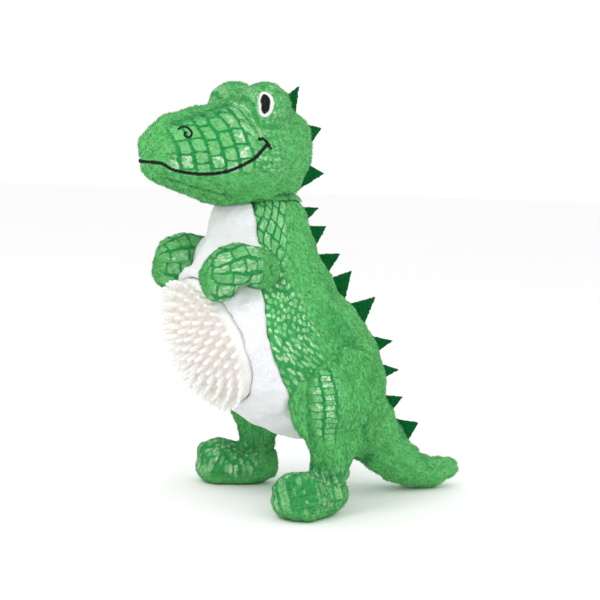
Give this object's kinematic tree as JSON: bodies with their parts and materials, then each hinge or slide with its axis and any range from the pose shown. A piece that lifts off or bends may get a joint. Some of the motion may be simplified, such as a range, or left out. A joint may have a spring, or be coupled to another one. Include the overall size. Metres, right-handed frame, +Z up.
{
  "type": "stuffed dinosaur",
  "caption": "Standing plush dinosaur in green scaly pile with a felt spike row and a white belly that holds a soft rubber squeaker dome with bendy nubs.",
  "frame": {"origin": "on the floor, under the middle of the toy", "axes": "+Z up, -Y the way the snout points, +X the toy's left side"},
  "size_m": [0.1346, 0.2357, 0.2538],
  "materials": {
    "green_plush": "short green pile with foil-printed scales",
    "white_velour": "smooth white velour",
    "green_felt": "pressed dark green felt",
    "black_thread": "black satin stitch",
    "white_thread": "white satin stitch",
    "fibrefill": "loose white polyester fibre",
    "milky_rubber": "glossy milky thermoplastic rubber",
    "squeaker_plastic": "thin translucent moulding"
  },
  "bodies": {
    "torso": {"belly_panel": "white_velour", "back_panel_left": "green_plush", "back_panel_right": "green_plush", "torso_filling": "fibrefill", "squeaker_bulb": "squeaker_plastic", "squeaker_reed": "squeaker_plastic", "back_spike_04": "green_felt", "back_spike_05": "green_felt", "back_spike_06": "green_felt", "back_spike_07": "green_felt", "back_spike_08": "green_felt", "back_spike_09": "green_felt", "back_spike_10": "green_felt"},
    "neck": {"neck_wad": "fibrefill"},
    "head": {"head_gusset": "green_plush", "chin_panel": "green_plush", "head_side_left": "green_plush", "head_side_right": "green_plush", "head_filling": "fibrefill", "eye_white_left": "white_thread", "eye_white_right": "white_thread", "eye_pupil_left": "black_thread", "eye_pupil_right": "black_thread", "nostril_left": "black_thread", "nostril_right": "black_thread", "mouth_line": "black_thread", "back_spike_01": "green_felt", "back_spike_02": "green_felt", "back_spike_03": "green_felt"},
    "arm_left": {"arm_left_outer": "green_plush", "arm_left_inner": "green_plush", "arm_left_filling": "fibrefill"},
    "arm_right": {"arm_right_outer": "green_plush", "arm_right_inner": "green_plush", "arm_right_filling": "fibrefill"},
    "leg_left": {"leg_left_outer": "green_plush", "leg_left_inner": "green_plush", "leg_left_filling": "fibrefill"},
    "leg_right": {"leg_right_outer": "green_plush", "leg_right_inner": "green_plush", "leg_right_filling": "fibrefill"},
    "tail": {"tail_panel_left": "green_plush", "tail_panel_right": "green_plush", "tail_filling": "fibrefill", "back_spike_11": "green_felt", "back_spike_12": "green_felt"},
    "dome": {"dome_shell": "milky_rubber"}
  },
  "joints": [
    {"name": "neck_turn", "type": "hinge", "parent": "torso", "child": "neck", "pos_m": [0, -0.03994, 0.15932], "axis": [0, -0.0663, 0.9978], "range_deg": [-20, 20], "stiffness_Nm_per_rad": 0.5},
    {"name": "head_nod", "type": "hinge", "parent": "neck", "child": "head", "pos_m": [0, -0.03994, 0.15932], "axis": [1, 0, 0], "range_deg": [-12, 12], "stiffness_Nm_per_rad": 0.7},
    {"name": "arm_left_swing", "type": "hinge", "parent": "torso", "child": "arm_left", "pos_m": [0.036, -0.05604, 0.14522], "axis": [1, 0, 0], "range_deg": [-40, 6], "stiffness_Nm_per_rad": 0.05},
    {"name": "arm_right_swing", "type": "hinge", "parent": "torso", "child": "arm_right", "pos_m": [-0.036, -0.05604, 0.14522], "axis": [1, 0, 0], "range_deg": [-40, 6], "stiffness_Nm_per_rad": 0.05},
    {"name": "leg_left_swing", "type": "hinge", "parent": "torso", "child": "leg_left", "pos_m": [0.045, -0.0049, 0.06945], "axis": [1, 0, 0], "range_deg": [-18, 18], "stiffness_Nm_per_rad": 2.5},
    {"name": "leg_right_swing", "type": "hinge", "parent": "torso", "child": "leg_right", "pos_m": [-0.045, -0.0049, 0.06945], "axis": [1, 0, 0], "range_deg": [-18, 18], "stiffness_Nm_per_rad": 2.5},
    {"name": "tail_wag", "type": "hinge", "parent": "torso", "child": "tail", "pos_m": [0, 0.04185, 0.04449], "axis": [0, -0.0663, 0.9978], "range_deg": [-20, 20], "stiffness_Nm_per_rad": 0.4},
    {"name": "dome_press", "type": "slide", "parent": "torso", "child": "dome", "axis": [0, 0.915, 0.4035], "range_m": [0, 0.006], "stiffness_N_per_m": 500}
  ]
}
